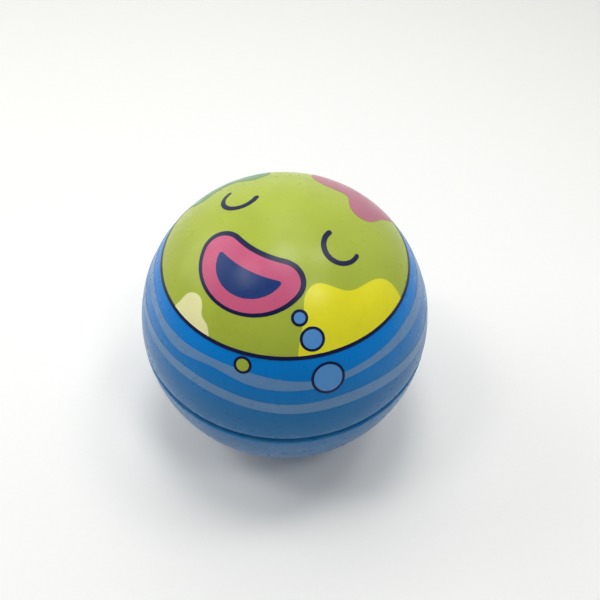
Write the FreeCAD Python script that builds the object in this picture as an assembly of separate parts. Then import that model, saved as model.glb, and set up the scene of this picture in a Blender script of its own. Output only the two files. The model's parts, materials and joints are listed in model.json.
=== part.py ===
import FreeCAD, Part
import math
import os

# A printed foam stress ball. The ball stands on the small flat that its own weight presses into it.
# Millimetres, +Z up, origin at the middle of that flat. The front of the ball faces -Y, its right is +X.
# A place on the ball is given by two angles in degrees: polar, down from the top, and azimuth, round
# from +X towards +Y.

# driving dimensions
BALL_RADIUS = 31.5
REST_FLAT_RADIUS = 3.5
SKIN = 1.2

# the parting groove is a soft crease: two rounded lips that fall to a narrow bottom
GROOVE_BOTTOM_WIDTH = 0.6
GROOVE_DEPTH = 0.6
GROOVE_LIP_RADIUS = 1.1
GROOVE_BOTTOM_DISH = 0.05

# every coat of ink is one film; a second coat lies on the first
INK = 0.15
COAT_GAP = 0.005
INK_EDGE_GAP = 0.02

DISC_POLAR = 52.0
RIM_POLAR = 53.3

# the printed face: a plain smile with two closed eyes, drawn on a flat stencil that touches the top
FACE_TURN = -33.0
FACE_SHIFT = 0.8
LINE_WIDTH = 1.15
EYE_SPREAD = 12.7
EYE_RADIUS = 4.1
EYE_SWEEP = 200.0
MOUTH_TOP = -9.4
MOUTH_HALF_WIDTH = 12.9
MOUTH_DEPTH = 18.6
MOUTH_TOP_SAG = 1.2
MOUTH_CORNER = 5.8
LIP_WIDTH = 4.0

# round dots: (polar, azimuth, radius of the coloured part), and the width of the dark rim, in degrees
DOT_RIM = 0.95
BIG_BUBBLE = (61.5, -73.0, 5.0)
MIDDLE_BUBBLE = (46.8, -77.5, 3.3)
SMALL_BUBBLE = (39.3, -82.5, 1.9)
LIME_DOT = (56.9, -107.0, 2.2)

# colour fields on the lime disc: the inner edge of each, as (polar, azimuth); past the disc's own edge
# the outline only has to stay outside it
YELLOW_EDGE = [(57, -28), (48, -25), (41, -28), (38, -36), (36, -50), (31, -61), (29.2, -69), (31, -76),
               (38, -80), (46, -83), (57, -85)]
PINK_EDGE = [(57, 27), (47, 21), (38, 15), (32, 9), (27, 11), (25.5, 22), (29, 37), (26.5, 50), (27, 63),
             (41, 74), (57, 77)]
CREAM_EDGE = [(57, -123), (50.5, -125.5), (48.3, -128.5), (47.3, -131.5), (44.6, -134), (42.4, -138.5),
              (43.3, -143.5), (48, -146.5), (57, -150)]
TEAL_EDGE = [(57, 97), (40, 100), (30.5, 106), (28.8, 117), (34.5, 125), (37.5, 136), (39, 147), (46, 150),
             (57, 148)]

# pale wavy bands: (middle, half width) in polar degrees, at equal steps round the ball from azimuth -180
WAVE_HIGH = [(60.4, 1.6), (60.6, 1.8), (61.3, 1.8), (61.5, 2.2), (60.0, 1.5), (61.2, 2.3), (62.6, 2.0),
             (63.0, 1.4), (62.2, 1.4), (61.9, 1.8), (62.0, 2.4), (62.4, 2.6), (61.9, 2.2), (61.0, 1.4),
             (60.4, 1.8), (60.8, 2.3), (61.6, 1.7), (61.3, 1.2), (60.6, 1.9), (60.5, 2.4), (61.3, 1.8),
             (61.9, 1.2), (61.6, 1.7), (60.9, 2.1)]
WAVE_LOW = [(69.5, 1.6), (70.0, 1.8), (69.8, 1.9), (72.3, 2.0), (72.3, 2.3), (75.8, 2.2), (76.0, 1.6),
            (74.0, 1.6), (72.2, 1.9), (71.0, 1.6), (70.0, 1.4), (69.2, 1.7)]
BAND_FILM_END = 80.0

# worked out from the dimensions above
CENTRE_HEIGHT = math.sqrt(BALL_RADIUS**2 - REST_FLAT_RADIUS**2)
CORE_RADIUS = BALL_RADIUS - SKIN
FIRST_COAT = BALL_RADIUS + COAT_GAP
SECOND_COAT = FIRST_COAT + INK + COAT_GAP
EDGE_GAP_ANGLE = math.degrees(INK_EDGE_GAP / BALL_RADIUS)

# the cone that carries an outline through the ink, as shares of the stencil's size: one that cuts a hole
# in another is longer at both ends
STAMP_REACH = (0.4, 1.15)
HOLE_REACH = (0.36, 1.27)
CUTTER_REACH = (BALL_RADIUS - 1.0, BALL_RADIUS + 1.0)

ORIGIN = FreeCAD.Vector(0, 0, 0)
UP = FreeCAD.Vector(0, 0, 1)
HALFWAY = math.radians(45)


def on_ball(radius, polar, azimuth=0.0):
    """The point at these angles, seen from the ball's centre."""
    p = math.radians(polar)
    a = math.radians(azimuth)
    return FreeCAD.Vector(
        radius * math.sin(p) * math.cos(a), radius * math.sin(p) * math.sin(a), radius * math.cos(p)
    )


def arc(start, middle, end):
    return Part.Arc(start, middle, end).toShape()


def line(start, end):
    return Part.LineSegment(start, end).toShape()


def smooth_spans(points, closed=False):
    """A smooth curve through the points, as one edge from each point to the next."""
    curve = Part.BSplineCurve()
    curve.interpolate(Points=points, PeriodicFlag=closed)
    knots = curve.getKnots()
    return [curve.toShape(knots[i], knots[i + 1]) for i in range(len(knots) - 1)]


def turned(edges):
    """The solid that a closed profile in the XZ plane sweeps round the ball's axis."""
    return Part.Face(Part.Wire(edges)).revolve(ORIGIN, UP, 360)


# ---- the moulded ball: foam, two skins and the web between them


def foam_core():
    return Part.makeSphere(CORE_RADIUS - COAT_GAP)


def groove_lip():
    """The arc of a lip, in section: its centre and its first and last angles.

    It leaves the ball's surface without a kink and ends at the edge of the groove's bottom.
    """
    reach = BALL_RADIUS - GROOVE_DEPTH + GROOVE_BOTTOM_DISH
    height = GROOVE_BOTTOM_WIDTH / 2
    distance = math.hypot(reach, height)
    centre_distance = BALL_RADIUS - GROOVE_LIP_RADIUS
    share = (centre_distance**2 + distance**2 - GROOVE_LIP_RADIUS**2) / (2 * centre_distance * distance)
    start = math.atan2(height, reach) + math.acos(share)
    centre = (centre_distance * math.cos(start), centre_distance * math.sin(start))
    end = math.atan2(height - centre[1], reach - centre[0])
    return centre, start, end


def skin_profile(sign, flat_radius):
    """One half skin's section. sign is 1 for the upper half and -1 for the lower."""
    half = GROOVE_BOTTOM_WIDTH / 2
    inside = math.sqrt(CORE_RADIUS**2 - half**2)
    lip_centre, lip_start, lip_end = groove_lip()

    def at(reach, height):
        return FreeCAD.Vector(reach, 0, sign * height)

    def on_lip(angle):
        return at(
            lip_centre[0] + GROOVE_LIP_RADIUS * math.cos(angle),
            lip_centre[1] + GROOVE_LIP_RADIUS * math.sin(angle),
        )

    lip_outer = on_lip(lip_start)
    lip_middle = on_lip((lip_start + lip_end) / 2)
    lip_inner = on_lip(lip_end)
    wall_end = at(inside, half)
    pole_inside = at(0, CORE_RADIUS)
    outer_middle = at(BALL_RADIUS * math.cos(HALFWAY), BALL_RADIUS * math.sin(HALFWAY))
    inner_middle = at(CORE_RADIUS * math.cos(HALFWAY), CORE_RADIUS * math.sin(HALFWAY))
    pole_height = math.sqrt(BALL_RADIUS**2 - flat_radius**2)
    pole_outside = at(0, pole_height)
    edges = [
        arc(lip_outer, lip_middle, lip_inner),
        line(lip_inner, wall_end),
        arc(wall_end, inner_middle, pole_inside),
        line(pole_inside, pole_outside),
    ]
    if flat_radius > 0:
        flat_edge = at(flat_radius, pole_height)
        edges.append(line(pole_outside, flat_edge))
        edges.append(arc(flat_edge, outer_middle, lip_outer))
    else:
        edges.append(arc(pole_outside, outer_middle, lip_outer))
    return edges


def upper_skin():
    return turned(skin_profile(1, 0.0))


def lower_skin():
    return turned(skin_profile(-1, REST_FLAT_RADIUS))


def seam_web():
    """The ring of skin that closes the groove's bottom."""
    half = GROOVE_BOTTOM_WIDTH / 2 - INK_EDGE_GAP
    inside = math.sqrt(CORE_RADIUS**2 - half**2)
    outside = BALL_RADIUS - GROOVE_DEPTH
    top_in = FreeCAD.Vector(inside, 0, half)
    low_in = FreeCAD.Vector(inside, 0, -half)
    top_out = FreeCAD.Vector(outside + GROOVE_BOTTOM_DISH, 0, half)
    low_out = FreeCAD.Vector(outside + GROOVE_BOTTOM_DISH, 0, -half)
    return turned(
        [
            arc(low_in, FreeCAD.Vector(CORE_RADIUS, 0, 0), top_in),
            line(top_in, top_out),
            arc(top_out, FreeCAD.Vector(outside, 0, 0), low_out),
            line(low_out, low_in),
        ]
    )


# ---- ink films


def film(inner, outer, start, end):
    """A spherical film between two radii and two polar angles, round the ball's axis."""
    middle = (start + end) / 2
    edges = [
        arc(on_ball(outer, start), on_ball(outer, middle), on_ball(outer, end)),
        line(on_ball(outer, end), on_ball(inner, end)),
        arc(on_ball(inner, end), on_ball(inner, middle), on_ball(inner, start)),
        line(on_ball(inner, start), on_ball(outer, start)),
    ]
    return turned(edges)


def carried_to(shape, polar, azimuth):
    """Turn a shape made round the top to another place on the ball."""
    moved = shape.copy()
    moved.rotate(ORIGIN, FreeCAD.Vector(0, 1, 0), polar)
    moved.rotate(ORIGIN, UP, azimuth)
    return moved


def stamp(edges, reach=STAMP_REACH):
    """The cone from the ball's centre through a closed outline."""
    ends = []
    for share in reach:
        end = Part.Wire(edges)
        end.scale(share, ORIGIN)
        ends.append(end)
    return Part.makeLoft(ends, True, True)


def second_coat(edges):
    """A film on top of the lime disc with the outline of a stencil, cut off at the disc's edge."""
    coat = film(SECOND_COAT, SECOND_COAT + INK, 0.0, DISC_POLAR)
    shape = coat.common(stamp(edges))
    return shape.Solids[0]


def on_stencil(polar, azimuth):
    """Where a place on the ball lies on the flat stencil that touches the ball's top."""
    reach = BALL_RADIUS * math.tan(math.radians(polar))
    a = math.radians(azimuth)
    return FreeCAD.Vector(reach * math.cos(a), reach * math.sin(a), BALL_RADIUS)


def colour_field(edge):
    points = [on_stencil(polar, azimuth) for polar, azimuth in edge]
    return second_coat(smooth_spans(points) + [line(points[-1], points[0])])


def hole_for(dot):
    """The space that a dot and its rim take out of a film beneath them."""
    polar, azimuth, radius = dot
    near, far = CUTTER_REACH
    return carried_to(film(near, far, 0.0, radius + DOT_RIM + EDGE_GAP_ANGLE), polar, azimuth)


def dot_fill(dot, coat):
    polar, azimuth, radius = dot
    return carried_to(film(coat, coat + INK, 0.0, radius), polar, azimuth)


def dot_rim(dot, coat):
    polar, azimuth, radius = dot
    return carried_to(film(coat, coat + INK, radius + EDGE_GAP_ANGLE, radius + DOT_RIM), polar, azimuth)


def wave_band(stations, dots):
    """A band round the ball whose middle and width wander, with room left for the dots on it."""

    def edge(side, radius):
        points = []
        for number, (middle, half) in enumerate(stations):
            azimuth = -180 + 360 * number / len(stations)
            points.append(on_ball(radius, middle + side * half, azimuth))
        return smooth_spans(points, closed=True)

    near, far = CUTTER_REACH
    corners = [edge(-1, near), edge(-1, far), edge(1, far), edge(1, near)]
    faces = []
    for i in range(4):
        for one, other in zip(corners[i], corners[(i + 1) % 4]):
            faces.append(Part.makeRuledSurface(one, other).Faces[0])
    ring = Part.makeSolid(Part.makeShell(faces))
    if ring.Volume < 0:
        ring.reverse()
    band = film(FIRST_COAT, FIRST_COAT + INK, DISC_POLAR, BAND_FILM_END).common(ring)
    for dot in dots:
        band = band.cut(hole_for(dot))
    return band.Solids[0]


# ---- the face, drawn on the stencil


def face_point(across, along):
    """A place on the stencil, measured from the face's middle: across to its right, along to its top."""
    turn = math.radians(FACE_TURN)
    x = FACE_SHIFT + across * math.cos(turn) - along * math.sin(turn)
    y = across * math.sin(turn) + along * math.cos(turn)
    return FreeCAD.Vector(x, y, BALL_RADIUS)


def closed_eye(side):
    """A bow that hangs like a closed eyelid, with round ends."""
    across = side * EYE_SPREAD
    tip = LINE_WIDTH / 2
    inner = EYE_RADIUS - tip
    outer = EYE_RADIUS + tip
    first = -90 - EYE_SWEEP / 2
    last = -90 + EYE_SWEEP / 2

    def at(radius, angle):
        a = math.radians(angle)
        return face_point(across + radius * math.cos(a), radius * math.sin(a))

    def tip_point(angle, way):
        a = math.radians(angle)
        x = across + EYE_RADIUS * math.cos(a) - way * tip * math.sin(a)
        y = EYE_RADIUS * math.sin(a) + way * tip * math.cos(a)
        return face_point(x, y)

    return [
        arc(at(outer, first), at(outer, -90), at(outer, last)),
        arc(at(outer, last), tip_point(last, 1), at(inner, last)),
        arc(at(inner, last), at(inner, -90), at(inner, first)),
        arc(at(inner, first), tip_point(first, -1), at(outer, first)),
    ]


def mouth_edges(inset):
    """The open smile: a shallow bow across its top, two round corners, and a deep bowl below.

    The four arcs meet without a kink. inset shrinks the outline evenly, as each ink lies inside the last.
    """
    side = MOUTH_HALF_WIDTH - MOUTH_CORNER
    level = MOUTH_TOP - MOUTH_CORNER
    rise = MOUTH_CORNER - MOUTH_TOP_SAG
    drop = MOUTH_DEPTH - MOUTH_CORNER
    bow_radius = (side**2 + rise**2 - MOUTH_CORNER**2) / (2 * (MOUTH_CORNER - rise))
    bowl_radius = (side**2 + drop**2 - MOUTH_CORNER**2) / (2 * (drop - MOUTH_CORNER))
    bow_turn = math.atan2(rise + bow_radius, -side)
    bowl_turn = math.atan2(drop - bowl_radius, side)
    corner = MOUTH_CORNER - inset

    def corner_point(way, angle):
        return face_point(way * (side + corner * math.cos(angle)), level + corner * math.sin(angle))

    left_top = corner_point(-1, bow_turn)
    right_top = corner_point(1, bow_turn)
    right_low = corner_point(1, bowl_turn)
    left_low = corner_point(-1, bowl_turn)
    middle_turn = (bow_turn + bowl_turn) / 2
    return [
        arc(left_top, face_point(0, level + rise - inset), right_top),
        arc(right_top, corner_point(1, middle_turn), right_low),
        arc(right_low, face_point(0, level - drop + inset), left_low),
        arc(left_low, corner_point(-1, middle_turn), left_top),
    ]


def mouth_ring(outer_inset, inner_inset):
    ring = stamp(mouth_edges(outer_inset)).cut(stamp(mouth_edges(inner_inset), HOLE_REACH))
    coat = film(SECOND_COAT, SECOND_COAT + INK, 0.0, DISC_POLAR)
    return coat.common(ring).Solids[0]


# ---- all the nodes


def nodes():
    lip_start = LINE_WIDTH
    inside_start = LINE_WIDTH + LIP_WIDTH
    yellow = colour_field(YELLOW_EDGE)
    for dot in (MIDDLE_BUBBLE, SMALL_BUBBLE):
        yellow = yellow.cut(hole_for(dot))
    return {
        "foam_core": foam_core(),
        "lower_skin": lower_skin(),
        "upper_skin": upper_skin(),
        "seam_web": seam_web(),
        "lime_disc": film(FIRST_COAT, FIRST_COAT + INK, 0.0, DISC_POLAR),
        "navy_rim": film(FIRST_COAT, SECOND_COAT + INK, DISC_POLAR + EDGE_GAP_ANGLE, RIM_POLAR),
        "yellow_patch": yellow.Solids[0],
        "pink_patch": colour_field(PINK_EDGE),
        "cream_patch": colour_field(CREAM_EDGE),
        "teal_patch": colour_field(TEAL_EDGE),
        "wave_band_high": wave_band(WAVE_HIGH, [BIG_BUBBLE, LIME_DOT]),
        "wave_band_low": wave_band(WAVE_LOW, []),
        "mouth_outline": mouth_ring(0.0, lip_start - INK_EDGE_GAP),
        "mouth_lip": mouth_ring(lip_start, inside_start - INK_EDGE_GAP),
        "mouth_inside": second_coat(mouth_edges(inside_start)),
        "left_eye": second_coat(closed_eye(-1)),
        "right_eye": second_coat(closed_eye(1)),
        "big_bubble": dot_fill(BIG_BUBBLE, FIRST_COAT),
        "big_bubble_rim": dot_rim(BIG_BUBBLE, FIRST_COAT),
        "middle_bubble": dot_fill(MIDDLE_BUBBLE, SECOND_COAT),
        "middle_bubble_rim": dot_rim(MIDDLE_BUBBLE, SECOND_COAT),
        "small_bubble": dot_fill(SMALL_BUBBLE, SECOND_COAT),
        "small_bubble_rim": dot_rim(SMALL_BUBBLE, SECOND_COAT),
        "lime_dot": dot_fill(LIME_DOT, FIRST_COAT),
        "lime_dot_rim": dot_rim(LIME_DOT, FIRST_COAT),
    }


os.makedirs("parts", exist_ok=True)
for name, shape in nodes().items():
    shape.translate(FreeCAD.Vector(0, 0, CENTRE_HEIGHT))
    shape.exportStep(os.path.join("parts", name + ".step"))
    print(name, "valid" if shape.isValid() else "INVALID", len(shape.Solids), round(shape.Volume, 2))
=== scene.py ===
import json
import math

import bmesh
import bpy
import numpy as np
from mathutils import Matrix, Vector, noise
from mathutils.geometry import delaunay_2d_cdt
from mathutils.kdtree import KDTree


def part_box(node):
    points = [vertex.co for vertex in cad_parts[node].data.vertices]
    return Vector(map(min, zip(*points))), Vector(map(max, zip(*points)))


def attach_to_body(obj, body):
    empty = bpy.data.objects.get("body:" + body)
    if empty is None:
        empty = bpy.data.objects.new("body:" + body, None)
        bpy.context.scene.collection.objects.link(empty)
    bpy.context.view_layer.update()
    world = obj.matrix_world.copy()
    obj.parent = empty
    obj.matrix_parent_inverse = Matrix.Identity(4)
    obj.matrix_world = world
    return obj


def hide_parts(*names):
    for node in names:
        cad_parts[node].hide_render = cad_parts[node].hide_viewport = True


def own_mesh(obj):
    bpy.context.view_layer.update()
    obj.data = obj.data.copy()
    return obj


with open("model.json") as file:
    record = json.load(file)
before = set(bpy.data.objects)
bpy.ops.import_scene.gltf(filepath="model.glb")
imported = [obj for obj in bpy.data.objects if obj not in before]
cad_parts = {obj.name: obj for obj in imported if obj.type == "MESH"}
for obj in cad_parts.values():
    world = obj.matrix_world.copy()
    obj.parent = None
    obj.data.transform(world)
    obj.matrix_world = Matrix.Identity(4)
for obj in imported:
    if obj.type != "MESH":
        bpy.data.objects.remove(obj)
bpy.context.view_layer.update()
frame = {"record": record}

# ---- sizes, in metres. A place on the ball is (polar, azimuth) in degrees: polar down from the top,
# azimuth from +X towards +Y, so that the front is at azimuth -90.

MM = 0.001
core_low, core_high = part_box("foam_core")
CENTRE = Vector((0.0, 0.0, (core_low.z + core_high.z) / 2))
CORE_RADIUS = (core_high.z - core_low.z) / 2
BALL_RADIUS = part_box("upper_skin")[1].z - CENTRE.z

# the skins and the web stand this far clear of the core, and the web this far clear of the skins
FIT_GAP = 0.01 * MM
CAVITY_RADIUS = CORE_RADIUS + FIT_GAP

GROOVE_BOTTOM_WIDTH = 0.6 * MM
GROOVE_DEPTH = 0.6 * MM
GROOVE_LIP_RADIUS = 1.1 * MM
GROOVE_BOTTOM_DISH = 0.05 * MM

# the groove's width and depth wander by up to about this share. The scale says how finely they do, and the
# offset keeps the depth from following the width
GROOVE_WANDER = 0.12
GROOVE_WANDER_SCALE = 5.0
GROOVE_DEPTH_OFFSET = Vector((3.1, 4.7, 8.2))

# A moulded foam ball is not quite round. Its surface wanders by up to about UNEVEN, and UNEVEN_SCALE says
# how finely. This fades away between two polar angles, round the flat that the ball rests on.
UNEVEN = 0.05 * MM
UNEVEN_SCALE = 2.4
UNEVEN_FADE = (160.0, 172.0)

# the open cells in the core's surface: how finely they divide it, and how deep they go
CELL_SCALE = 22.0
CELL_DEPTH = 0.30 * MM

# a coat of ink lies between two heights above the ball, and the navy rim is as thick as both coats
FIRST_COAT = (0.012 * MM, 0.052 * MM)
SECOND_COAT = (0.062 * MM, 0.102 * MM)
RIM_COAT = (FIRST_COAT[0], SECOND_COAT[1])

# the polar angles of the lime disc's edge, and of the outer edge of the navy rim round it
DISC_POLAR = 52.0
RIM_POLAR = 53.3

# The face is drawn upright on a flat stencil that touches the top of the ball, then turned, and shifted
# towards +X. Each eye is a bow that takes in EYE_SWEEP degrees of a circle. MOUTH_TOP is the height of the
# smile's two top corners, and its top edge sags between them.
FACE_TURN = -33.0
FACE_SHIFT = 0.8 * MM
LINE_WIDTH = 1.15 * MM
EYE_SPREAD = 12.7 * MM
EYE_RADIUS = 4.1 * MM
EYE_SWEEP = 200.0
MOUTH_TOP = -9.4 * MM
MOUTH_HALF_WIDTH = 12.9 * MM
MOUTH_DEPTH = 18.6 * MM
MOUTH_TOP_SAG = 1.2 * MM
MOUTH_CORNER = 5.8 * MM
LIP_WIDTH = 4.0 * MM

# a dot is (polar, azimuth, radius) in degrees, and its dark outline is DOT_RIM degrees wide
DOT_RIM = 0.95
BIG_BUBBLE = (61.5, -73.0, 5.0)
MIDDLE_BUBBLE = (46.8, -77.5, 3.3)
SMALL_BUBBLE = (39.3, -82.5, 1.9)
LIME_DOT = (56.9, -107.0, 2.2)

# the edge of each colour patch, as (polar, azimuth). Its two ends lie outside the lime disc, whose edge
# trims the patch
YELLOW_EDGE = [(57, -28), (48, -25), (41, -28), (38, -36), (36, -50), (31, -61), (29.2, -69), (31, -76),
               (38, -80), (46, -83), (57, -85)]
PINK_EDGE = [(57, 27), (47, 21), (38, 15), (32, 9), (27, 11), (25.5, 22), (29, 37), (26.5, 50), (27, 63),
             (41, 74), (57, 77)]
CREAM_EDGE = [(57, -123), (50.5, -125.5), (48.3, -128.5), (47.3, -131.5), (44.6, -134), (42.4, -138.5),
              (43.3, -143.5), (48, -146.5), (57, -150)]
TEAL_EDGE = [(57, 97), (40, 100), (30.5, 106), (28.8, 117), (34.5, 125), (37.5, 136), (39, 147), (46, 150),
             (57, 148)]

# the wavy bands, as (polar, half width) at even steps of azimuth, from -180 on the left round by the front
WAVE_HIGH = [(60.4, 1.6), (60.6, 1.8), (61.3, 1.8), (61.5, 2.2), (60.0, 1.5), (61.2, 2.3), (62.6, 2.0),
             (63.0, 1.4), (62.2, 1.4), (61.9, 1.8), (62.0, 2.4), (62.4, 2.6), (61.9, 2.2), (61.0, 1.4),
             (60.4, 1.8), (60.8, 2.3), (61.6, 1.7), (61.3, 1.2), (60.6, 1.9), (60.5, 2.4), (61.3, 1.8),
             (61.9, 1.2), (61.6, 1.7), (60.9, 2.1)]
WAVE_LOW = [(69.5, 1.6), (70.0, 1.8), (69.8, 1.9), (72.3, 2.0), (72.3, 2.3), (75.8, 2.2), (76.0, 1.6),
            (74.0, 1.6), (72.2, 1.9), (71.0, 1.6), (70.0, 1.4), (69.2, 1.7)]

# mesh fineness. The flat's rings are shares of its radius, and the web's stations shares of its half width
AZIMUTH_STEPS = 216
OUTER_ROWS = 70
LIP_ROWS = 10
INNER_ROWS = 22
FLAT_RINGS = (0.0, 0.33, 0.66)
WEB_OUTER_STATIONS = (-1.0, -0.5, 0.0, 0.5, 1.0)
WEB_INNER_STATIONS = (1.0, 0.0, -1.0)
CORE_SUBDIVISIONS = 6
FILM_GRID = 1.0 * MM
LINE_STEP = 0.25 * MM
FIELD_STEP = LINE_STEP * 1.5
WAVE_STEP = LINE_STEP * 2
FEWEST_ARC_POINTS = 10
CIRCLE_POINTS = 360
DOT_POINTS = 72
SHARP_ANGLE = 40.0

# places nearer to each other than this are one
SAME_PLACE = 1e-7

# The surface of the skin and the inks. Scales are per mm, the pinholes' radius is in mm, and heights and
# depths are in metres. Wear polishes some places and dulls others, as changes of roughness.
MOTTLE_SCALE = 0.11
DARK_MOTTLE = 0.94
PALE_MOTTLE = 1.05
SPECK_SCALE = 2.6
SPECK_SHARE = 0.14
PALE_GREY = (0.8, 0.8, 0.8, 1.0)
PINHOLE_SCALE = 0.33
PINHOLE_RADIUS = 0.15
PINHOLE_SHARE = 0.03
SKIN_PINHOLE_SHARE = 0.04
PINHOLE_DEPTH = 0.003 * MM
# painted shade in each pinhole: how far its colour darkens
PINHOLE_SHADE = 0.14
WEAR_SCALE = 0.35
WEAR_POLISH = 0.04
WEAR_DULLING = 0.06
PEEL_SCALE = 0.45
PEEL_HEIGHT = 0.012 * MM
GRAIN_SCALE = 5.0
GRAIN_HEIGHT = 0.0025 * MM
SURFACE_IOR = 1.36
SHEEN = 0.05
SHEEN_ROUGHNESS = 0.35

# The blue skin's changes of colour. Each starts at one height and is full at the other, in mm above the
# groove's middle for FLOOR_REFLECTION and away from it either way for the rest, and is full at a share of
# its colour.
# SHADE_DEEPENING and GROOVE_SHADE are painted shade, and FLOOR_REFLECTION is a painted reflection of the
# floor.
# painted shade: the blue turns darker towards the groove, from both sides
SHADE_DEEPENING = (18.0, 6.0)
# painted reflection of the floor: the underside turns greyer towards the bottom
FLOOR_REFLECTION = (-2.0, -18.0)
FLOOR_REFLECTION_SHARE = 0.6
RUBBING = (2.2, 1.3)
RUBBING_SHARE = 0.18
RUBBING_SCALE = 0.5
# painted shade in the groove: the blue darkens along its middle
GROOVE_SHADE = (1.1, 0.2)
GROOVE_SHADE_SHARE = 0.20
SKIN_GLOSS_TINT = (0.5, 0.95, 1.0, 1.0)

# the look of the core's cells: how many to a mm, and how deep they are
FOAM_SCALE = 2.2
FOAM_CELL_DEPTH = 0.15 * MM
FOAM_ROUGHNESS = 0.92

# the round sheet of paper that the ball stands on
FLOOR_RADIUS = 0.45
FLOOR_SIDES = 96
FIBRE_SCALE = 0.9
FIBRE_HEIGHT = 0.02 * MM
PAPER_ROUGHNESS = 0.75

# how bright the room is on the camera's side, how much brighter straight behind the ball, and how bright the
# camera sees it
ROOM_LIGHT = 0.20
BACK_LIGHT = 0.78
BACKDROP = 0.84

# each round lamp faces the ball: (elevation, azimuth, distance, width, power), in degrees, metres and watts
LAMPS = {
    "overhead": (86.0, 90.0, 0.32, 0.10, 0.26),
    "lamp_right": (66.0, 20.0, 0.45, 0.10, 0.23),
    "lamp_left": (62.0, 192.0, 0.45, 0.10, 0.23),
    "lamp_front": (62.0, -45.0, 0.45, 0.10, 0.23),
    "panel_back": (58.0, 90.0, 0.45, 0.22, 0.20),
    "panel_left": (32.0, 160.0, 0.50, 0.36, 0.65),
    "panel_right": (32.0, 20.0, 1.00, 0.72, 0.42),
}

# the camera: its lens and sensor in mm, its near and far limits, its place from the ball's centre (the
# distance in ball radii), and its rotation about X, Y and Z in degrees
LENS = 42.0
SENSOR_WIDTH = 36.0
CLIP = (0.005, 20.0)
CAMERA_POLAR = 38.0
CAMERA_AZIMUTH = -90.0
CAMERA_DISTANCE = 5.0
CAMERA_TURN = (39.2, -1.3, -0.3)


# ---- the ball's surface


def direction(polar, azimuth):
    polar = math.radians(polar)
    azimuth = math.radians(azimuth)
    reach = math.sin(polar)
    return Vector((reach * math.cos(azimuth), reach * math.sin(azimuth), math.cos(polar)))


def unevenness(way):
    """How far the surface stands out in this direction, or in if negative."""
    polar = math.degrees(way.angle(Vector((0, 0, 1))))
    start, end = UNEVEN_FADE
    fade = min(1.0, max(0.0, (end - polar) / (end - start)))
    return UNEVEN * fade * noise.noise(way * UNEVEN_SCALE)


def settled(point):
    """Where a point of the ideal ball, given from its centre, lies on the uneven ball."""
    way = point.normalized()
    return CENTRE + point + way * unevenness(way)


def mesh_object(name, mesh_data):
    mesh = bpy.data.meshes.new(name)
    mesh_data.to_mesh(mesh)
    mesh_data.free()
    for polygon in mesh.polygons:
        polygon.use_smooth = True
    mesh.set_sharp_from_angle(angle=math.radians(SHARP_ANGLE))
    piece = bpy.data.objects.new(name, mesh)
    bpy.context.scene.collection.objects.link(piece)
    return piece


def lathe(name, profile_at, closed):
    """Turn a profile round the ball's axis. profile_at(azimuth) gives its points as (reach, height)."""
    made = bmesh.new()
    on_axis = {}
    rows = []
    for step in range(AZIMUTH_STEPS):
        azimuth = 2 * math.pi * step / AZIMUTH_STEPS
        row = []
        for index, (reach, height) in enumerate(profile_at(azimuth)):
            if reach < SAME_PLACE:
                if index not in on_axis:
                    on_axis[index] = made.verts.new(settled(Vector((0, 0, height))))
                row.append(on_axis[index])
            else:
                point = Vector((reach * math.cos(azimuth), reach * math.sin(azimuth), height))
                row.append(made.verts.new(settled(point)))
        rows.append(row)
    count = len(rows[0])
    for step in range(AZIMUTH_STEPS):
        here = rows[step]
        there = rows[(step + 1) % AZIMUTH_STEPS]
        for i in range(count if closed else count - 1):
            j = (i + 1) % count
            corners = []
            for vert in (here[i], here[j], there[j], there[i]):
                if vert not in corners:
                    corners.append(vert)
            made.faces.new(corners)
    bmesh.ops.recalc_face_normals(made, faces=made.faces)
    return mesh_object(name, made)


# ---- the moulded ball


def groove_shape(azimuth):
    """The half width and depth of the groove's bottom, which wander a little as the mould's edge does."""
    around = Vector((math.cos(azimuth), math.sin(azimuth), 0.0)) * GROOVE_WANDER_SCALE
    half = GROOVE_BOTTOM_WIDTH / 2 * (1 + GROOVE_WANDER * noise.noise(around))
    depth = GROOVE_DEPTH * (1 + GROOVE_WANDER * noise.noise(around + GROOVE_DEPTH_OFFSET))
    return half, depth


def groove_lip(half, depth):
    """The arc of a lip, in section: its centre and its first and last angles."""
    reach = BALL_RADIUS - depth + GROOVE_BOTTOM_DISH
    distance = math.hypot(reach, half)
    centre_distance = BALL_RADIUS - GROOVE_LIP_RADIUS
    share = (centre_distance**2 + distance**2 - GROOVE_LIP_RADIUS**2) / (2 * centre_distance * distance)
    start = math.atan2(half, reach) + math.acos(share)
    centre = (centre_distance * math.cos(start), centre_distance * math.sin(start))
    end = math.atan2(half - centre[1], reach - centre[0])
    return centre, start, end


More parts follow.
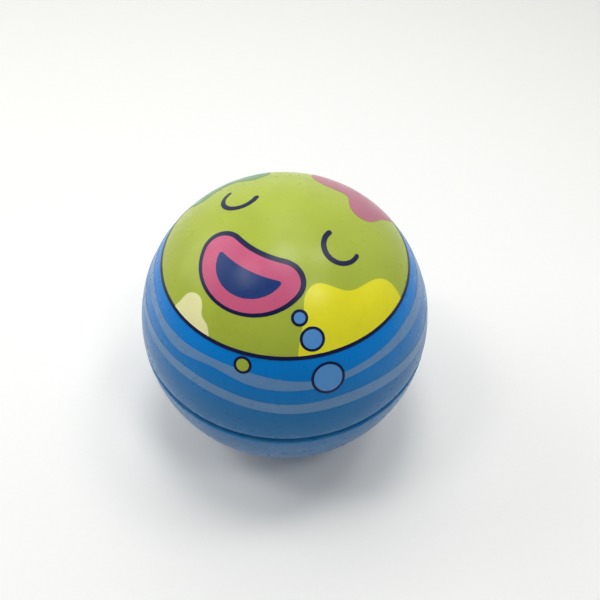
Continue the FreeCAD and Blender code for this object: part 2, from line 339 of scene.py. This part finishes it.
def skin_profile(azimuth, sign, flat_radius):
    """Half a skin's section: out from the pole, over the lip into the groove, and back along the cavity."""
    half, depth = groove_shape(azimuth)
    (lip_reach, lip_height), lip_start, lip_end = groove_lip(half, depth)
    wall_angle = math.asin(half / CAVITY_RADIUS)
    flat_angle = math.asin(flat_radius / BALL_RADIUS)
    points = []
    if flat_radius > 0:
        floor_height = math.sqrt(BALL_RADIUS**2 - flat_radius**2)
        points += [(flat_radius * share, floor_height) for share in FLAT_RINGS]
    for i in range(OUTER_ROWS + 1):
        lean = flat_angle + (math.pi / 2 - flat_angle - lip_start) * i / OUTER_ROWS
        points.append((BALL_RADIUS * math.sin(lean), BALL_RADIUS * math.cos(lean)))
    for i in range(1, LIP_ROWS + 1):
        turn = lip_start + (lip_end - lip_start) * i / LIP_ROWS
        points.append(
            (lip_reach + GROOVE_LIP_RADIUS * math.cos(turn), lip_height + GROOVE_LIP_RADIUS * math.sin(turn))
        )
    for i in range(INNER_ROWS + 1):
        lean = wall_angle + (math.pi / 2 - wall_angle) * i / INNER_ROWS
        points.append((CAVITY_RADIUS * math.cos(lean), CAVITY_RADIUS * math.sin(lean)))
    return [(reach, sign * height) for reach, height in points]


def upper_skin():
    return lathe("upper_skin_foam", lambda azimuth: skin_profile(azimuth, 1, 0.0), closed=False)


def lower_skin():
    flat_radius = math.sqrt(BALL_RADIUS**2 - CENTRE.z**2)
    return lathe("lower_skin_foam", lambda azimuth: skin_profile(azimuth, -1, flat_radius), closed=False)


def seam_web():
    def profile(azimuth):
        half, depth = groove_shape(azimuth)
        half -= FIT_GAP
        points = []
        for share in WEB_OUTER_STATIONS:
            dish = GROOVE_BOTTOM_DISH * share**2
            points.append((BALL_RADIUS - depth + dish, half * share))
        for share in WEB_INNER_STATIONS:
            points.append((math.sqrt(CAVITY_RADIUS**2 - (half * share) ** 2), half * share))
        return points

    return lathe("seam_web_foam", profile, closed=True)


def foam_core():
    """The open-cell foam inside: a ball whose surface is pitted with cells."""
    made = bmesh.new()
    bmesh.ops.create_icosphere(made, subdivisions=CORE_SUBDIVISIONS, radius=1.0)
    for vert in made.verts:
        way = vert.co.normalized()
        to_cells = noise.voronoi(way * CELL_SCALE)[0]
        vert.co = CENTRE + way * (CORE_RADIUS - CELL_DEPTH * (1 - to_cells[0]))
    return mesh_object("foam_core_foam", made)


# ---- flat drawings. The map lays the ball's surface out flat round its top, true along every line from
# the top. The stencil is a flat sheet that touches the top, seen from the ball's centre.


def to_map(way):
    polar = math.acos(max(-1.0, min(1.0, way.z)))
    azimuth = math.atan2(way.y, way.x)
    return (BALL_RADIUS * polar * math.cos(azimuth), BALL_RADIUS * polar * math.sin(azimuth))


def from_map(x, y):
    polar = math.degrees(math.hypot(x, y) / BALL_RADIUS)
    return direction(polar, math.degrees(math.atan2(y, x)))


def stencil_to_map(points):
    return [to_map(Vector((x, y, BALL_RADIUS)).normalized()) for x, y in points]


def smooth_curve(points, closed, step):
    """A smooth curve (a cubic spline) through the points, as points about a step apart or closer."""
    knots = np.array(points, float)
    if closed:
        knots = np.vstack([knots, knots[:1]])
    gaps = np.linalg.norm(np.diff(knots, axis=0), axis=1)
    count = len(knots)
    matrix = np.zeros((count, count))
    right = np.zeros_like(knots)
    slopes = np.diff(knots, axis=0) / gaps[:, None]
    for i in range(1, count - 1):
        matrix[i, i - 1 : i + 2] = gaps[i - 1], 2 * (gaps[i - 1] + gaps[i]), gaps[i]
        right[i] = 6 * (slopes[i] - slopes[i - 1])
    if closed:
        matrix[0, 0], matrix[0, 1] = 2 * (gaps[-1] + gaps[0]), gaps[0]
        matrix[0, count - 2] = gaps[-1]
        right[0] = 6 * (slopes[0] - slopes[-1])
        matrix[-1, 0], matrix[-1, -1] = 1, -1
    else:
        matrix[0, 0] = matrix[-1, -1] = 1
    bends = np.linalg.solve(matrix, right)
    drawn = []
    for i, gap in enumerate(gaps):
        steps = max(2, math.ceil(gap / step))
        for k in range(steps):
            done = k / steps
            left = 1 - done
            bow = ((left**3 - left) * bends[i] + (done**3 - done) * bends[i + 1]) * gap**2 / 6
            drawn.append(left * knots[i] + done * knots[i + 1] + bow)
    if not closed:
        drawn.append(knots[-1])
    return drawn


def arc(start, middle, end):
    """Points along the circle through three points of the stencil, without the last one."""
    (ax, ay), (bx, by), (cx, cy) = start, middle, end
    cross = 2 * ((bx - ax) * (cy - ay) - (by - ay) * (cx - ax))
    b_square = (bx - ax) ** 2 + (by - ay) ** 2
    c_square = (cx - ax) ** 2 + (cy - ay) ** 2
    middle_x = ax + ((cy - ay) * b_square - (by - ay) * c_square) / cross
    middle_y = ay + ((bx - ax) * c_square - (cx - ax) * b_square) / cross
    radius = math.hypot(ax - middle_x, ay - middle_y)
    first = math.atan2(ay - middle_y, ax - middle_x)
    last = math.atan2(cy - middle_y, cx - middle_x)
    if cross > 0:
        sweep = (last - first) % (2 * math.pi)
    else:
        sweep = -((first - last) % (2 * math.pi))
    count = max(FEWEST_ARC_POINTS, math.ceil(abs(sweep) * radius / LINE_STEP))
    turns = [first + sweep * i / count for i in range(count)]
    return [(middle_x + radius * math.cos(turn), middle_y + radius * math.sin(turn)) for turn in turns]


def circle(polar, azimuth, radius, count):
    """A circle on the ball, as a loop on the map."""
    axis = direction(polar, azimuth)
    side = axis.orthogonal().normalized()
    up = axis.cross(side)
    lean = math.radians(radius)
    loop = []
    for i in range(count):
        turn = 2 * math.pi * i / count
        spoke = side * math.cos(turn) + up * math.sin(turn)
        loop.append(to_map(axis * math.cos(lean) + spoke * math.sin(lean)))
    return loop


def contains(loop, points):
    """Which of the points lie inside a closed loop."""
    x, y = points[:, 0], points[:, 1]
    found = np.zeros(len(points), bool)
    corners = np.array(loop)
    for (ax, ay), (bx, by) in zip(corners, np.roll(corners, -1, axis=0)):
        crosses = (ay > y) != (by > y)
        if ay != by:
            found ^= crosses & (x < (bx - ax) * (y - ay) / (by - ay) + ax)
    return found


def in_region(points, within, without):
    """Which of the points lie inside every loop of within and outside all of without."""
    kept = np.ones(len(points), bool)
    for loop in within:
        kept &= contains(loop, points)
    for loop in without:
        kept &= ~contains(loop, points)
    return kept


def grid_points(within, without, outlines):
    """Evenly spread points inside a region, clear of its edges."""
    corners = np.array(within[0])
    low, high = corners.min(0), corners.max(0)
    row_height = FILM_GRID * math.sqrt(3) / 2
    spots = []
    for row in range(math.ceil((high[1] - low[1]) / row_height)):
        start = low[0] + (row % 2) * FILM_GRID / 2
        for column in range(math.ceil((high[0] - low[0]) / FILM_GRID)):
            spots.append((start + column * FILM_GRID, low[1] + row * row_height))
    spots = np.array(spots)
    spots = spots[in_region(spots, within, without)]
    tree = KDTree(sum(len(loop) for loop in outlines))
    for loop in outlines:
        for x, y in loop:
            tree.insert((x, y, 0.0), 0)
    tree.balance()
    return [(x, y) for x, y in spots if tree.find((x, y, 0.0))[2] > FILM_GRID / 2]


def film(name, coat, within, without=()):
    """A thin closed film on the ball: the region inside every loop of within and outside all of without."""
    outlines = list(within) + list(without)
    points = []
    edges = []
    for loop in outlines:
        first = len(points)
        points += [Vector(p) for p in loop]
        edges += [(first + i, first + (i + 1) % len(loop)) for i in range(len(loop))]
    points += [Vector(p) for p in grid_points(within, without, outlines)]
    verts, _, triangles, _, _, _ = delaunay_2d_cdt(points, edges, [], 0, SAME_PLACE)
    spots = np.array([(v.x, v.y) for v in verts])
    middles = np.array([spots[list(t)].mean(0) for t in triangles])
    kept = [t for t, use in zip(triangles, in_region(middles, within, without)) if use]

    made = bmesh.new()
    low_height, high_height = coat
    top, bottom = {}, {}
    for index in sorted({i for t in kept for i in t}):
        way = from_map(*spots[index])
        top[index] = made.verts.new(settled(way * (BALL_RADIUS + high_height)))
        bottom[index] = made.verts.new(settled(way * (BALL_RADIUS + low_height)))
    sides = []
    for a, b, c in kept:
        made.faces.new((top[a], top[b], top[c]))
        made.faces.new((bottom[c], bottom[b], bottom[a]))
        sides += [(a, b), (b, c), (c, a)]
    # a side that no neighbour shares is on the film's edge, where a wall joins its top and bottom
    known = set(sides)
    for a, b in sides:
        if (b, a) not in known:
            made.faces.new((top[b], top[a], bottom[a], bottom[b]))
    return mesh_object(name, made)


# ---- the printed shapes, as loops on the map


def colour_field(edge):
    """A patch's outline: a smooth curve through its edge points, closed by a straight line."""
    stencil = []
    for polar, azimuth in edge:
        way = direction(polar, azimuth)
        stencil.append((way.x / way.z * BALL_RADIUS, way.y / way.z * BALL_RADIUS))
    drawn = smooth_curve(stencil, closed=False, step=FIELD_STEP)
    closing = smooth_curve([stencil[-1], stencil[0]], closed=False, step=FILM_GRID)
    return stencil_to_map(drawn + closing[1:-1])


def wave_edge(stations, side):
    """A band's lower edge (side 1) or upper edge (side -1), a smooth loop round the ball."""
    points = []
    for number, (middle, half) in enumerate(stations):
        azimuth = -180 + 360 * number / len(stations)
        points.append(direction(middle + side * half, azimuth) * BALL_RADIUS)
    drawn = smooth_curve(points, closed=True, step=WAVE_STEP)
    return [to_map(Vector(p).normalized()) for p in drawn]


def face_point(across, along):
    """The stencil's place for a point of the upright face, given across it and along it upwards."""
    turn = math.radians(FACE_TURN)
    x = FACE_SHIFT + across * math.cos(turn) - along * math.sin(turn)
    y = across * math.sin(turn) + along * math.cos(turn)
    return (x, y)


def closed_eye(side):
    """A bow that hangs like a closed eyelid, with round ends. The left eye is side -1, the right one 1."""
    across = side * EYE_SPREAD
    tip = LINE_WIDTH / 2
    down = -90
    first = down - EYE_SWEEP / 2
    last = down + EYE_SWEEP / 2

    def at(radius, angle):
        turn = math.radians(angle)
        return face_point(across + radius * math.cos(turn), radius * math.sin(turn))

    def tip_point(angle, way):
        turn = math.radians(angle)
        x = across + EYE_RADIUS * math.cos(turn) - way * tip * math.sin(turn)
        y = EYE_RADIUS * math.sin(turn) + way * tip * math.cos(turn)
        return face_point(x, y)

    inner = EYE_RADIUS - tip
    outer = EYE_RADIUS + tip
    return stencil_to_map(
        arc(at(outer, first), at(outer, down), at(outer, last))
        + arc(at(outer, last), tip_point(last, 1), at(inner, last))
        + arc(at(inner, last), at(inner, down), at(inner, first))
        + arc(at(inner, first), tip_point(first, -1), at(outer, first))
    )


def mouth(inset):
    """The open smile, four arcs that meet without a kink, shrunk evenly by inset."""
    side = MOUTH_HALF_WIDTH - MOUTH_CORNER
    level = MOUTH_TOP - MOUTH_CORNER
    rise = MOUTH_CORNER - MOUTH_TOP_SAG
    drop = MOUTH_DEPTH - MOUTH_CORNER
    bow_radius = (side**2 + rise**2 - MOUTH_CORNER**2) / (2 * (MOUTH_CORNER - rise))
    bowl_radius = (side**2 + drop**2 - MOUTH_CORNER**2) / (2 * (drop - MOUTH_CORNER))
    bow_turn = math.atan2(rise + bow_radius, -side)
    bowl_turn = math.atan2(drop - bowl_radius, side)
    corner = MOUTH_CORNER - inset

    def corner_point(way, angle):
        return face_point(way * (side + corner * math.cos(angle)), level + corner * math.sin(angle))

    left_top = corner_point(-1, bow_turn)
    right_top = corner_point(1, bow_turn)
    right_low = corner_point(1, bowl_turn)
    left_low = corner_point(-1, bowl_turn)
    middle_turn = (bow_turn + bowl_turn) / 2
    return stencil_to_map(
        arc(left_top, face_point(0, level + rise - inset), right_top)
        + arc(right_top, corner_point(1, middle_turn), right_low)
        + arc(right_low, face_point(0, level - drop + inset), left_low)
        + arc(left_low, corner_point(-1, middle_turn), left_top)
    )


def dot(spec, grow=0.0):
    polar, azimuth, radius = spec
    return circle(polar, azimuth, radius + grow, DOT_POINTS)


# ---- materials


def srgb(red, green, blue):
    """A colour given as 0 to 255 on a screen, as light, by the sRGB standard's curve."""
    light = []
    for value in (red, green, blue):
        level = value / 255
        light.append(level / 12.92 if level <= 0.04045 else ((level + 0.055) / 1.055) ** 2.4)
    return (*light, 1.0)


class Nodes:
    """Short calls to build one material's nodes. Their textures are placed in mm."""

    # the Mix node's sockets for colours
    MIXED_COLOURS = (6, 7)
    MIX_RESULT = 2

    def __init__(self, name):
        self.material = bpy.data.materials.new(name)
        self.material.use_nodes = True
        self.tree = self.material.node_tree
        self.shader = self.tree.nodes["Principled BSDF"]
        place = self.add("ShaderNodeTexCoord")
        scale = self.add("ShaderNodeMapping")
        scale.inputs["Scale"].default_value = (1 / MM, 1 / MM, 1 / MM)
        self.link(place.outputs["Object"], scale.inputs["Vector"])
        self.place = scale.outputs["Vector"]

    def add(self, kind, **values):
        node = self.tree.nodes.new(kind)
        for key, value in values.items():
            setattr(node, key, value)
        return node

    def link(self, source, target):
        self.tree.links.new(source, target)

    def noise(self, per_mm, detail=2.0, roughness=0.5):
        node = self.add("ShaderNodeTexNoise")
        node.inputs["Scale"].default_value = per_mm
        node.inputs["Detail"].default_value = detail
        node.inputs["Roughness"].default_value = roughness
        self.link(self.place, node.inputs["Vector"])
        return node.outputs["Fac"]

    def ramp(self, source, low, high, to_low=0.0, to_high=1.0):
        node = self.add("ShaderNodeMapRange")
        node.inputs["From Min"].default_value = low
        node.inputs["From Max"].default_value = high
        node.inputs["To Min"].default_value = to_low
        node.inputs["To Max"].default_value = to_high
        self.link(source, node.inputs["Value"])
        return node.outputs["Result"]

    def math(self, operation, one, other=0.0):
        node = self.add("ShaderNodeMath", operation=operation)
        for socket, value in zip(node.inputs, (one, other)):
            if isinstance(value, (int, float)):
                socket.default_value = value
            else:
                self.link(value, socket)
        return node.outputs["Value"]

    def mix(self, factor, one, other):
        node = self.add("ShaderNodeMix", data_type="RGBA")
        self.link(factor, node.inputs["Factor"])
        for number, value in zip(self.MIXED_COLOURS, (one, other)):
            if isinstance(value, tuple):
                node.inputs[number].default_value = value
            else:
                self.link(value, node.inputs[number])
        return node.outputs[self.MIX_RESULT]

    def bump(self, height, distance, under=None):
        node = self.add("ShaderNodeBump")
        node.inputs["Strength"].default_value = 1.0
        node.inputs["Distance"].default_value = distance
        self.link(height, node.inputs["Height"])
        if under is not None:
            self.link(under, node.inputs["Normal"])
        return node.outputs["Normal"]

    def pores(self, per_mm, radius, share):
        """Sparse round pinholes: 1 in the middle of one and 0 outside it. The radius is in mm."""
        node = self.add("ShaderNodeTexVoronoi")
        node.inputs["Scale"].default_value = per_mm
        self.link(self.place, node.inputs["Vector"])
        chosen = self.add("ShaderNodeSeparateColor")
        self.link(node.outputs["Color"], chosen.inputs["Color"])
        pick = self.math("LESS_THAN", chosen.outputs["Red"], share)
        hole = self.ramp(node.outputs["Distance"], low=radius * per_mm, high=0.5 * radius * per_mm)
        return self.math("MULTIPLY", pick, hole)


def shade(colour, factor):
    return (colour[0] * factor, colour[1] * factor, colour[2] * factor, 1.0)


def tinted(colour, other, share):
    return tuple(a + (b - a) * share for a, b in zip(colour, other))


def coated(name, colour, roughness, pinholes=PINHOLE_SHARE, graded=None):
    """Satin moulded foam skin, or ink on it: faint mottling, orange peel, fine grain and pinholes, each
    pinhole darkened as painted shade.

    pinholes is the share of places that have one, and graded is a function that changes the colour over the
    piece.
    """
    nodes = Nodes(name)
    mottle = nodes.ramp(nodes.noise(MOTTLE_SCALE, detail=3.0), low=0.3, high=0.7)
    tone = nodes.mix(mottle, shade(colour, DARK_MOTTLE), shade(colour, PALE_MOTTLE))
    if graded is not None:
        tone = graded(nodes, tone)
    speck = nodes.ramp(nodes.noise(SPECK_SCALE, roughness=0.6), low=0.62, high=0.80, to_high=SPECK_SHARE)
    tone = nodes.mix(speck, tone, tinted(shade(colour, 1.12), PALE_GREY, 0.05))
    holes = nodes.pores(PINHOLE_SCALE, PINHOLE_RADIUS, pinholes)
    # painted shade: each pinhole is darker
    tone = nodes.mix(nodes.math("MULTIPLY", holes, PINHOLE_SHADE), tone, shade(colour, 0.45))
    nodes.link(tone, nodes.shader.inputs["Base Color"])
    wear = nodes.noise(WEAR_SCALE, detail=4.0, roughness=0.6)
    polished = roughness - WEAR_POLISH
    dulled = roughness + WEAR_DULLING
    worn = nodes.ramp(wear, low=0.35, high=0.70, to_low=polished, to_high=dulled)
    nodes.link(worn, nodes.shader.inputs["Roughness"])
    peel = nodes.bump(nodes.noise(PEEL_SCALE, detail=0.0), PEEL_HEIGHT)
    grain = nodes.bump(nodes.noise(GRAIN_SCALE), GRAIN_HEIGHT, peel)
    pitted = nodes.bump(nodes.math("MULTIPLY", holes, -1.0), PINHOLE_DEPTH, grain)
    nodes.link(pitted, nodes.shader.inputs["Normal"])
    nodes.shader.inputs["IOR"].default_value = SURFACE_IOR
    nodes.shader.inputs["Sheen Weight"].default_value = SHEEN
    nodes.shader.inputs["Sheen Roughness"].default_value = SHEEN_ROUGHNESS
    return nodes.material


def skin_material():
    """The blue skin. Painted shade darkens it from the rim of the print towards the parting groove.

    Painted shade darkens the groove, its lips are rubbed paler in places, and the underside turns greyer
    towards the bottom as a painted reflection of the floor.
    """
    bright = srgb(0, 125, 210)
    # the darker blue of the painted shade near the groove
    shaded_blue = srgb(0, 104, 168)
    # the grey of the painted reflection of the floor on the underside
    floor_reflection_grey = srgb(62, 80, 94)

    def graded(nodes, tone):
        heights = nodes.add("ShaderNodeSeparateXYZ")
        nodes.link(nodes.place, heights.inputs["Vector"])
        above_groove = nodes.math("SUBTRACT", heights.outputs["Z"], CENTRE.z / MM)
        from_groove = nodes.math("ABSOLUTE", above_groove)
        # painted shade: darker towards the groove
        tone = nodes.mix(nodes.ramp(from_groove, *SHADE_DEEPENING), tone, shaded_blue)
        # painted reflection of the floor: greyer towards the bottom
        tone = nodes.mix(nodes.ramp(above_groove, *FLOOR_REFLECTION, to_high=FLOOR_REFLECTION_SHARE), tone, floor_reflection_grey)
        patchy = nodes.ramp(nodes.noise(RUBBING_SCALE, detail=3.0), low=0.40, high=0.66)
        rubbed = nodes.math("MULTIPLY", nodes.ramp(from_groove, *RUBBING, to_high=RUBBING_SHARE), patchy)
        tone = nodes.mix(rubbed, tone, tinted(shaded_blue, srgb(150, 190, 222), 0.5))
        # painted shade: darker in the groove
        groove_shade = nodes.ramp(from_groove, *GROOVE_SHADE, to_high=GROOVE_SHADE_SHARE)
        return nodes.mix(groove_shade, tone, shade(shaded_blue, 0.6))

    skin = coated("blue_foam_skin", bright, roughness=0.30, pinholes=SKIN_PINHOLE_SHARE, graded=graded)
    shader = skin.node_tree.nodes["Principled BSDF"]
    shader.inputs["Specular Tint"].default_value = SKIN_GLOSS_TINT
    return skin


def foam_material():
    """Pale open-cell foam, painted darker in the hollow of each cell as painted shade."""
    nodes = Nodes("open_cell_foam")
    cells = nodes.add("ShaderNodeTexVoronoi", feature="DISTANCE_TO_EDGE")
    cells.inputs["Scale"].default_value = FOAM_SCALE
    nodes.link(nodes.place, cells.inputs["Vector"])
    hollow = nodes.ramp(cells.outputs["Distance"], low=0.02, high=0.20)
    # painted shade: each cell's hollow is darker than its walls
    tone = nodes.mix(hollow, srgb(236, 238, 236), srgb(176, 184, 190))
    nodes.link(tone, nodes.shader.inputs["Base Color"])
    nodes.link(nodes.bump(hollow, -FOAM_CELL_DEPTH), nodes.shader.inputs["Normal"])
    nodes.shader.inputs["Roughness"].default_value = FOAM_ROUGHNESS
    return nodes.material


def make_materials():
    """The materials by slot. Each ink is a colour and a roughness."""
    inks = {
        "lime_ink": (srgb(165, 181, 60), 0.30),
        "navy_ink": (srgb(8, 16, 64), 0.32),
        "yellow_ink": (srgb(231, 225, 40), 0.28),
        "pink_ink": (srgb(176, 104, 124), 0.32),
        "cream_ink": (srgb(232, 230, 168), 0.32),
        "teal_ink": (srgb(98, 144, 98), 0.32),
        "pale_blue_ink": (srgb(96, 140, 186), 0.30),
        "rose_ink": (srgb(198, 88, 124), 0.30),
        "deep_blue_ink": (srgb(20, 52, 112), 0.30),
        "bubble_ink": (srgb(84, 146, 210), 0.30),
    }
    made = {slot: coated(slot, colour, roughness) for slot, (colour, roughness) in inks.items()}
    made["blue_skin"] = skin_material()
    made["foam"] = foam_material()
    return made


# ---- every piece, by the CAD node that it stands for


def make_pieces():
    disc = circle(0.0, 0.0, DISC_POLAR, CIRCLE_POINTS)
    lip = mouth(LINE_WIDTH)
    hollow = mouth(LINE_WIDTH + LIP_WIDTH)
    patch_holes = [dot(MIDDLE_BUBBLE, DOT_RIM), dot(SMALL_BUBBLE, DOT_RIM)]
    band_holes = [dot(BIG_BUBBLE, DOT_RIM), dot(LIME_DOT, DOT_RIM)]
    pieces = {
        "foam_core": foam_core(),
        "lower_skin": lower_skin(),
        "upper_skin": upper_skin(),
        "seam_web": seam_web(),
        "lime_disc": film("lime_disc_ink", FIRST_COAT, [disc]),
        "navy_rim": film(
            "navy_rim_ink", RIM_COAT, [circle(0.0, 0.0, RIM_POLAR, CIRCLE_POINTS)], [disc]
        ),
        "yellow_patch": film(
            "yellow_patch_ink", SECOND_COAT, [colour_field(YELLOW_EDGE), disc], patch_holes
        ),
        "pink_patch": film("pink_patch_ink", SECOND_COAT, [colour_field(PINK_EDGE), disc]),
        "cream_patch": film("cream_patch_ink", SECOND_COAT, [colour_field(CREAM_EDGE), disc]),
        "teal_patch": film("teal_patch_ink", SECOND_COAT, [colour_field(TEAL_EDGE), disc]),
        "wave_band_high": film(
            "wave_band_high_ink",
            FIRST_COAT,
            [wave_edge(WAVE_HIGH, 1)],
            [wave_edge(WAVE_HIGH, -1), *band_holes],
        ),
        "wave_band_low": film(
            "wave_band_low_ink", FIRST_COAT, [wave_edge(WAVE_LOW, 1)], [wave_edge(WAVE_LOW, -1)]
        ),
        "mouth_outline": film("mouth_outline_ink", SECOND_COAT, [mouth(0.0)], [lip]),
        "mouth_lip": film("mouth_lip_ink", SECOND_COAT, [lip], [hollow]),
        "mouth_inside": film("mouth_inside_ink", SECOND_COAT, [hollow]),
        "left_eye": film("left_eye_ink", SECOND_COAT, [closed_eye(-1)]),
        "right_eye": film("right_eye_ink", SECOND_COAT, [closed_eye(1)]),
    }
    dots = {
        "big_bubble": (BIG_BUBBLE, FIRST_COAT),
        "middle_bubble": (MIDDLE_BUBBLE, SECOND_COAT),
        "small_bubble": (SMALL_BUBBLE, SECOND_COAT),
        "lime_dot": (LIME_DOT, FIRST_COAT),
    }
    for name, (spec, coat) in dots.items():
        pieces[name] = film(name + "_ink", coat, [dot(spec)])
        pieces[name + "_rim"] = film(name + "_rim_ink", coat, [dot(spec, DOT_RIM)], [dot(spec)])
    return pieces


def attach(pieces, materials):
    """Put every piece on its CAD body with its material, and hide the CAD part that it stands for.
    """
    slots = {part["node"]: part["material_slot"] for part in frame["record"]["subparts"]}
    for body, members in frame["record"]["behaviour"]["bodies"].items():
        for node in members:
            piece = pieces[node]
            piece.data.materials.append(materials[slots[node]])
            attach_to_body(piece, body)
            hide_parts(node)
            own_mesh(piece)


# ---- the studio: pale floor, soft light from above, and the camera


def make_floor():
    made = bmesh.new()
    bmesh.ops.create_circle(made, cap_ends=True, segments=FLOOR_SIDES, radius=FLOOR_RADIUS)
    floor = mesh_object("floor", made)
    nodes = Nodes("pale_paper")
    fibres = nodes.noise(FIBRE_SCALE, detail=4.0, roughness=0.6)
    tone = nodes.mix(fibres, srgb(247, 247, 243), srgb(252, 252, 249))
    nodes.link(tone, nodes.shader.inputs["Base Color"])
    nodes.link(nodes.bump(fibres, FIBRE_HEIGHT), nodes.shader.inputs["Normal"])
    nodes.shader.inputs["Roughness"].default_value = PAPER_ROUGHNESS
    floor.data.materials.append(nodes.material)


def make_light(name, elevation, azimuth, distance, width, power):
    lamp = bpy.data.lights.new(name, "AREA")
    lamp.shape = "DISK"
    lamp.size = width
    lamp.energy = power
    light = bpy.data.objects.new(name, lamp)
    way = direction(90 - elevation, azimuth)
    light.location = CENTRE + way * distance
    light.rotation_mode = "QUATERNION"
    light.rotation_quaternion = way.to_track_quat("Z", "Y")
    bpy.context.scene.collection.objects.link(light)


def make_room():
    """Pale walls all round that light the ball most from behind. The camera sees them as one plain tone."""
    world = bpy.data.worlds.new("room")
    world.use_nodes = True
    tree = world.node_tree
    background = tree.nodes["Background"]
    place = tree.nodes.new("ShaderNodeTexCoord")
    split = tree.nodes.new("ShaderNodeSeparateXYZ")
    tree.links.new(place.outputs["Generated"], split.inputs["Vector"])
    glow = tree.nodes.new("ShaderNodeMapRange")
    glow.inputs["To Min"].default_value = ROOM_LIGHT
    glow.inputs["To Max"].default_value = ROOM_LIGHT + BACK_LIGHT
    tree.links.new(split.outputs["Y"], glow.inputs["Value"])
    seen = tree.nodes.new("ShaderNodeLightPath")
    strength = tree.nodes.new("ShaderNodeMix")
    tree.links.new(seen.outputs["Is Camera Ray"], strength.inputs["Factor"])
    tree.links.new(glow.outputs["Result"], strength.inputs["A"])
    strength.inputs["B"].default_value = BACKDROP
    tree.links.new(strength.outputs["Result"], background.inputs["Strength"])
    background.inputs["Color"].default_value = (1.0, 1.0, 1.0, 1.0)
    bpy.context.scene.world = world


def make_studio():
    make_floor()
    make_room()
    for name, values in LAMPS.items():
        make_light(name, *values)
    bpy.context.scene.view_settings.view_transform = "Standard"


def make_camera():
    lens = bpy.data.cameras.new("camera")
    lens.lens = LENS
    lens.sensor_width = SENSOR_WIDTH
    lens.clip_start, lens.clip_end = CLIP
    camera = bpy.data.objects.new("camera", lens)
    camera.location = CENTRE + direction(CAMERA_POLAR, CAMERA_AZIMUTH) * BALL_RADIUS * CAMERA_DISTANCE
    camera.rotation_euler = [math.radians(angle) for angle in CAMERA_TURN]
    bpy.context.scene.collection.objects.link(camera)
    bpy.context.scene.camera = camera


make_camera()
make_studio()
attach(make_pieces(), make_materials())
